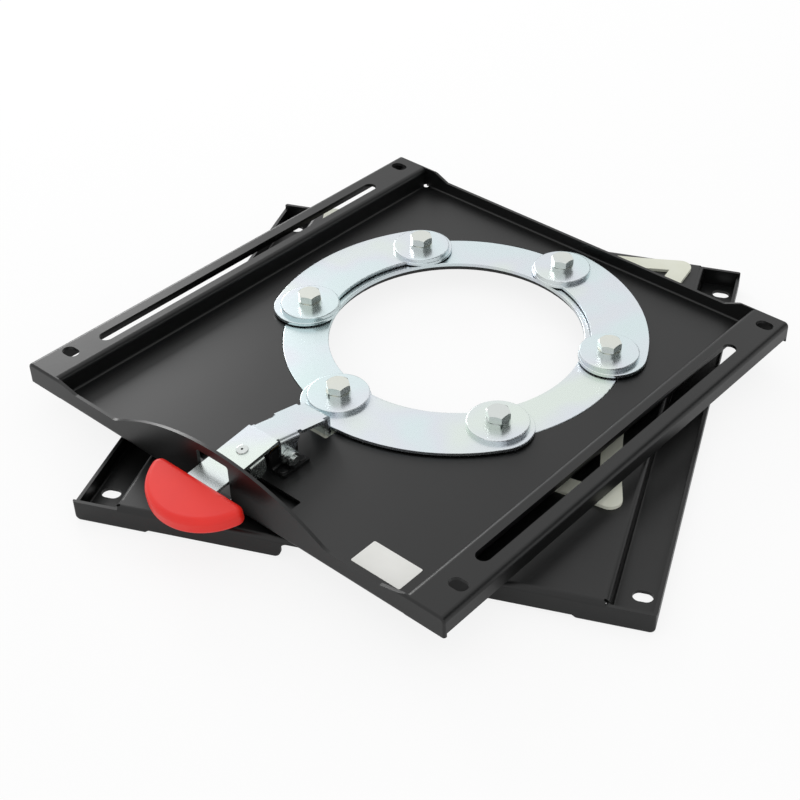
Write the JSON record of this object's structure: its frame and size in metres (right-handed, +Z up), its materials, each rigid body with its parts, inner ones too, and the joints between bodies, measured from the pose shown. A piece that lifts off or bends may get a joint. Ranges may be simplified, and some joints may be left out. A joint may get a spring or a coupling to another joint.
{
  "type": "swivel seat base",
  "caption": "Swivel base for a camper seat: folded black plates that turn on a zinc plated bolted ring, with a sprung release lever and a red half-moon handle.",
  "frame": {"origin": "on the swivel axis, at the underside of the feet", "axes": "+X to the right along the upper plate's width, +Y to the rear, +Z up along the swivel axis; the lever points to -Y"},
  "size_m": [0.5307, 0.5333, 0.0647],
  "materials": {
    "black_coat": "satin powder coat",
    "zinc": "bright zinc plate",
    "steel_fasteners": "zinc plate",
    "slide_plastic": "smooth ivory sheet",
    "red_plastic": "satin moulded",
    "spring_steel": "oiled wire",
    "bush_brass": "turned"
  },
  "bodies": {
    "base": {"lower_plate": "black_coat", "slide_sheet": "slide_plastic", "bearing_ring": "zinc", "spacer_washers": "steel_fasteners", "clamp_segment_left": "zinc", "clamp_segment_right": "zinc", "clamp_segment_front": "zinc", "cover_washers": "zinc", "lock_washers": "steel_fasteners", "ring_bolts": "steel_fasteners", "nut_washers": "steel_fasteners", "ring_nuts": "steel_fasteners"},
    "turntable": {"upper_plate": "black_coat", "bracket_left": "black_coat", "bracket_right": "black_coat", "bracket_rivets": "black_coat", "pivot_bolt": "steel_fasteners", "pivot_washers": "steel_fasteners", "pivot_nut": "steel_fasteners", "pivot_bush": "bush_brass", "return_spring": "spring_steel"},
    "lever": {"lever_strip": "zinc", "stop_plate": "zinc", "stop_rivet": "steel_fasteners", "handle": "red_plastic"}
  },
  "joints": [
    {"name": "swivel", "type": "hinge", "parent": "base", "child": "turntable", "pos_m": [0, 0, 0.0217], "axis": [0, 0, 1], "continuous": true},
    {"name": "release", "type": "hinge", "parent": "turntable", "child": "lever", "pos_m": [-0.0015, -0.19355, 0.0332], "axis": [1, 0, 0], "range_deg": [0, 6], "stiffness_Nm_per_rad": 1.5, "springref_deg": -17.19, "deforming": ["return_spring"]}
  ]
}
